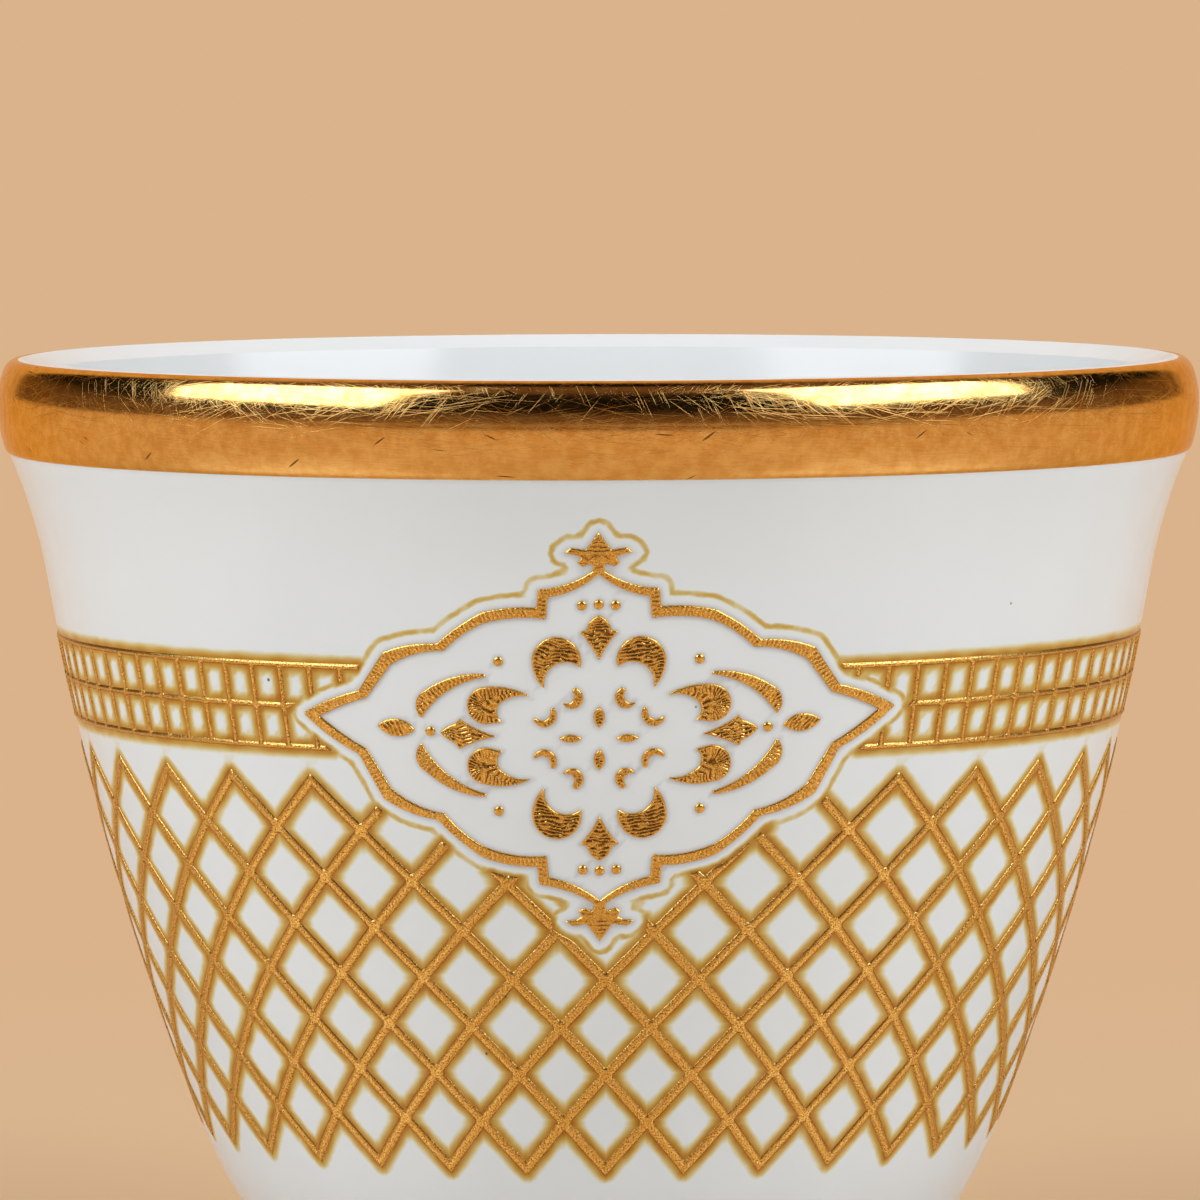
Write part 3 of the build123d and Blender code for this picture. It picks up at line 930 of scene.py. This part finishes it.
def porcelain_material():
    """White glaze, with amber gold flux beside the bars and round the frame, and a few dark specks."""
    shader = Shader("porcelain_glaze")
    place = shader.surface_map()
    cloud = shader.noise(place, CLOUDS, 3.0)
    white = shader.blend(cloud, GLAZE_DULL, GLAZE_WHITE)
    drift = shader.math("SUBTRACT", shader.noise(place, RAGGED_PATCHES, 1.5), 0.5)
    ragged = shader.math("MULTIPLY", drift, RAGGED_EDGE)
    frame_gap = shader.math("ADD", shader.attribute("frame_gap"), ragged)
    bar_gap = shader.math("ADD", shader.attribute("bar_gap"), ragged)
    clear = shader.fade(frame_gap, *CLEAR_RANGE)
    uneven_film = shader.fade(shader.noise(place, FILM_PATCHES, 2.0), *NOISE_RANGE, *FILM_STRENGTH)
    beside_bars = shader.math("MULTIPLY", shader.fade(bar_gap, *FILM_RANGE, FILM_DEPTH, 0.0), clear)
    beside_bars = shader.math("MULTIPLY", beside_bars, uneven_film)
    off_line = shader.math("ABSOLUTE", shader.math("SUBTRACT", frame_gap, LINE_GAP), 0.0)
    patchy = shader.fade(shader.noise(place, LINE_PATCHES, 2.0), *LINE_NOISE_RANGE, *LINE_STRENGTH)
    line = shader.math("MULTIPLY", shader.fade(off_line, *LINE_RANGE, 1.0, 0.0), patchy)
    film = shader.math("MAXIMUM", beside_bars, line)
    film_colour = shader.node("ShaderNodeGamma", Color=(*AMBER_FILM, 1), Gamma=film).outputs[0]
    stained = shader.node("ShaderNodeMix", {"data_type": "RGBA", "blend_type": "MULTIPLY"}, i0=1.0, i6=white,
                          i7=film_colour).outputs[2]
    # Painted shade: the glaze turns grey close to the medallion's gold, in place of its contact shadow
    shade = shader.fade(shader.attribute("ornament_gap"), *SHADE_RANGE, SHADE_DEPTH, 0.0)
    shaded = shader.blend(shade, stained, PAINTED_SHADE)
    cells = shader.node("ShaderNodeTexVoronoi", Vector=place, Scale=SPECK_CELLS)
    kept = shader.fade(cells.outputs["Color"], *SPECK_KEPT, 0.0, SPECK_DEPTH)
    spot = shader.fade(cells.outputs["Distance"], *SPECK_RANGE, 1.0, 0.0)
    colour = shader.blend(shader.math("MULTIPLY", spot, kept), shaded, GLAZE_SPECK)
    shader.set(shader.surface, "Base Color", colour)
    shader.set(shader.surface, "Roughness", shader.fade(cloud, *NOISE_RANGE, *GLAZE_ROUGHNESS))
    shader.set(shader.surface, "IOR", GLAZE_IOR)
    waves = shader.noise(place, WAVE_PATCHES, 3.0)
    shader.set(shader.surface, "Normal", shader.bump(waves, GLAZE_WAVES, GLAZE_WAVE_STRENGTH))
    return shader.material


def gold_material(name, fleck_size, evenness, grain_depth, roughness):
    """Metal gilding of dark and bright flecks, with brown in its grooves and a fine hammered grain."""
    shader = Shader(name)
    place = shader.surface_map()
    grain = shader.noise(place, 1 / fleck_size, 2.0, 0.6)
    darker = shader.blend(shader.fade(grain, 0.5 - evenness, 0.5), GOLD_DARK, GOLD_MIDDLE)
    tone = shader.blend(shader.fade(grain, 0.5, 0.5 + evenness), darker, GOLD_LIGHT)
    brown = shader.fade(shader.attribute("groove"), *GROOVE_BROWN_RANGE, 0.0, GROOVE_BROWN)
    colour = shader.blend(brown, tone, GOLD_GROOVE)
    shader.set(shader.surface, "Base Color", colour)
    shader.set(shader.surface, "Metallic", 1.0)
    polish = shader.fade(grain, *NOISE_RANGE, roughness + FLECK_POLISH, roughness - FLECK_POLISH)
    shader.set(shader.surface, "Roughness", polish)
    shader.set(shader.surface, "Normal", shader.bump(grain, grain_depth, 1.0))
    return shader.material


def rim_material():
    """Polished gold with hairline scratches in all directions, faint rubbing and small dark nicks."""
    shader = Shader("polished_rim_gold")
    place = shader.surface_map()
    cloud = shader.noise(place, RIM_CLOUDS, 4.0, 0.65)
    rubbing = shader.noise(shader.strokes(place, *RUBBING_STROKE), 1.0, 2.0, 0.6)
    faint_rubbing = shader.math("MULTIPLY", rubbing, RUBBING_SHARE)
    worn = shader.math("ADD", shader.math("MULTIPLY", cloud, 1 - RUBBING_SHARE), faint_rubbing)
    tone = shader.blend(shader.fade(worn, *RIM_TONE_RANGE), RIM_DULL, RIM_BRIGHT)
    relief_height = faint_rubbing
    for slant, length in RIM_SCRATCHES:
        scratches = shader.strokes(place, slant, length, RIM_SCRATCH_WIDTH)
        hair = shader.fade(shader.noise(scratches, 1.0, 1.0), *RIM_SCRATCH_RANGE)
        relief_height = shader.math("ADD", relief_height, hair)
    for slant, length, width in RIM_NICKS:
        field = shader.strokes(place, slant, length, width)
        cells = shader.node("ShaderNodeTexVoronoi", Vector=field, Scale=1.0)
        kept = shader.fade(cells.outputs["Color"], *NICK_KEPT)
        spot = shader.fade(cells.outputs["Distance"], *NICK_RANGE, NICK_DEPTH, 0.0)
        tone = shader.blend(shader.math("MULTIPLY", spot, kept), tone, RIM_NICK)
    shader.set(shader.surface, "Base Color", tone)
    shader.set(shader.surface, "Metallic", 1.0)
    shader.set(shader.surface, "Specular Tint", (*GOLD_EDGE_TINT, 1))
    shader.set(shader.surface, "Roughness", shader.fade(rubbing, *RUBBING_RANGE, *RIM_ROUGHNESS))
    shader.set(shader.surface, "Normal", shader.bump(relief_height, RIM_SCRATCH_DEPTH, RIM_SCRATCH_STRENGTH))
    return shader.material


porcelain.data.materials.append(porcelain_material())
rim_gold.data.materials.append(rim_material())
bar_gold = gold_material("grained_gold", fleck_size=0.09, evenness=0.16, grain_depth=0.022 * MM,
                         roughness=0.31)
medallion_gold = gold_material("chased_gold", fleck_size=0.08, evenness=0.22, grain_depth=0.014 * MM,
                               roughness=0.26)
for piece, _ in bars.values():
    piece.data.materials.append(bar_gold)
for piece, _ in ornaments.values():
    piece.data.materials.append(medallion_gold)


def make_floor():
    """A plain floor that keeps the cup's shadow, fades into the backdrop, and is polished in the gold."""
    bpy.ops.mesh.primitive_circle_add(vertices=FLOOR_SIDES, radius=FLOOR_RADIUS, fill_type="TRIFAN")
    floor = bpy.context.object
    floor.name = "floor"
    shader = Shader("floor_tan")
    shader.set(shader.surface, "Roughness", FLOOR_ROUGHNESS)
    place = shader.node("ShaderNodeNewGeometry").outputs["Position"]
    far = shader.node("ShaderNodeVectorMath", {"operation": "LENGTH"}, i0=place).outputs["Value"]
    ray = shader.node("ShaderNodeLightPath").outputs
    seen = shader.math("MAXIMUM", shader.math("MAXIMUM", ray["Is Camera Ray"], ray["Is Glossy Ray"]),
                       ray["Is Transmission Ray"])
    shader.set(shader.surface, "Base Color", shader.blend(seen, PALE_FLOOR, TAN))
    shader.set(shader.surface, "Specular IOR Level", ray["Is Glossy Ray"])
    share = shader.math("MULTIPLY", seen, shader.fade(far, *GLOW_RANGE))
    forward = shader.node("ShaderNodeSeparateXYZ", i0=place).outputs["Y"]
    front_edge = shader.fade(forward, *FLOOR_FRONT)
    lit_floor = shader.math("MAXIMUM", front_edge, ray["Is Camera Ray"])
    glow = shader.node("ShaderNodeEmission", Color=shader.blend(lit_floor, ROOM_BROWN, TAN), Strength=1.0)
    mixed = shader.node("ShaderNodeMixShader", i0=share, i1=shader.surface.outputs[0], i2=glow.outputs[0])
    output = shader.tree.nodes.get("Material Output")
    shader.tree.links.new(mixed.outputs[0], output.inputs["Surface"])
    floor.data.materials.append(shader.material)


def make_world():
    """Even light from all round, a dark room with a tan backdrop in the metal, and tan for the eye."""
    world = bpy.data.worlds.new("studio")
    world.use_nodes = True
    bpy.context.scene.world = world
    shader = Shader("studio", world.node_tree)
    direction = shader.node("ShaderNodeTexCoord").outputs["Generated"]
    parts = shader.node("ShaderNodeSeparateXYZ", i0=direction).outputs
    rise, depth = parts["Z"], parts["Y"]
    ambient = shader.blend(shader.fade(rise, *AMBIENT_RISE), AMBIENT_LOW, AMBIENT_HIGH)
    low_room = shader.blend(shader.fade(rise, *LOW_BLACK_RISE), ROOM_BROWN, ROOM_BLACK)
    middle_room = shader.blend(shader.fade(rise, *BROWN_RISE), low_room, ROOM_BROWN)
    dark_room = shader.blend(shader.fade(rise, *HIGH_BLACK_RISE), middle_room, ROOM_BLACK)
    sideways = shader.math("ABSOLUTE", parts["X"], 0.0)
    in_middle = shader.fade(sideways, *BACKDROP_SIDE, 1.0, 0.0)
    backdrop = shader.math("MULTIPLY", in_middle, shader.fade(depth, *BACKDROP_DEPTH))
    low = shader.fade(rise, *HORIZON_RISE, 1.0, 0.0)
    room = shader.blend(shader.math("MAXIMUM", low, backdrop), dark_room, TAN)
    ray = shader.node("ShaderNodeLightPath").outputs
    lit = shader.blend(ray["Is Glossy Ray"], ambient, room)
    colour = shader.blend(ray["Is Camera Ray"], lit, TAN)
    shader.set(world.node_tree.nodes["Background"], "Color", colour)


def make_softbox(name, azimuth, elevation, distance, width, height, radiance):
    """A soft rectangular lamp that faces the middle of the cup."""
    lamp = bpy.data.lights.new(name, "AREA")
    lamp.shape = "RECTANGLE"
    lamp.size = width
    lamp.size_y = height
    lamp.energy = radiance * math.pi * width * height
    lamp.color = LAMP
    softbox = bpy.data.objects.new(name, lamp)
    bpy.context.scene.collection.objects.link(softbox)
    azimuth, elevation = math.radians(azimuth), math.radians(elevation)
    outward = Vector((
        math.sin(azimuth) * math.cos(elevation),
        -math.cos(azimuth) * math.cos(elevation),
        math.sin(elevation),
    ))
    softbox.location = Vector((0, 0, AIM_HEIGHT)) + outward * distance
    softbox.rotation_euler = outward.to_track_quat("Z", "Y").to_euler()
    softbox.visible_camera = False
    return softbox


def make_camera():
    """The camera at the photograph's viewing angle."""
    lens = bpy.data.cameras.new("camera")
    camera = bpy.data.objects.new("camera", lens)
    bpy.context.scene.collection.objects.link(camera)
    lens.sensor_width = SENSOR_WIDTH
    lens.lens = LENS
    lens.shift_x = (PHOTO_PIXELS / 2 - AXIS_PIXEL) / PHOTO_PIXELS
    back = Vector((0, -math.cos(CAMERA_ELEVATION), math.sin(CAMERA_ELEVATION)))
    camera.location = Vector((0, 0, AIM_HEIGHT)) + back * CAMERA_DISTANCE
    facing = back.to_track_quat("Z", "Y") @ Quaternion((0, 0, 1), -CAMERA_ROLL)
    camera.rotation_euler = facing.to_euler()
    bpy.context.scene.camera = camera


make_floor()
make_world()
key_azimuth, *key_settings = KEY_LAMP
make_softbox("softbox_left", -key_azimuth, *key_settings)
make_softbox("softbox_right", key_azimuth, *key_settings)
for fill_name, settings in (("softbox_back", BACK_FILL), ("softbox_front", FRONT_FILL)):
    make_softbox(fill_name, *settings).visible_glossy = False
make_camera()
bpy.context.scene.view_settings.view_transform = "Standard"
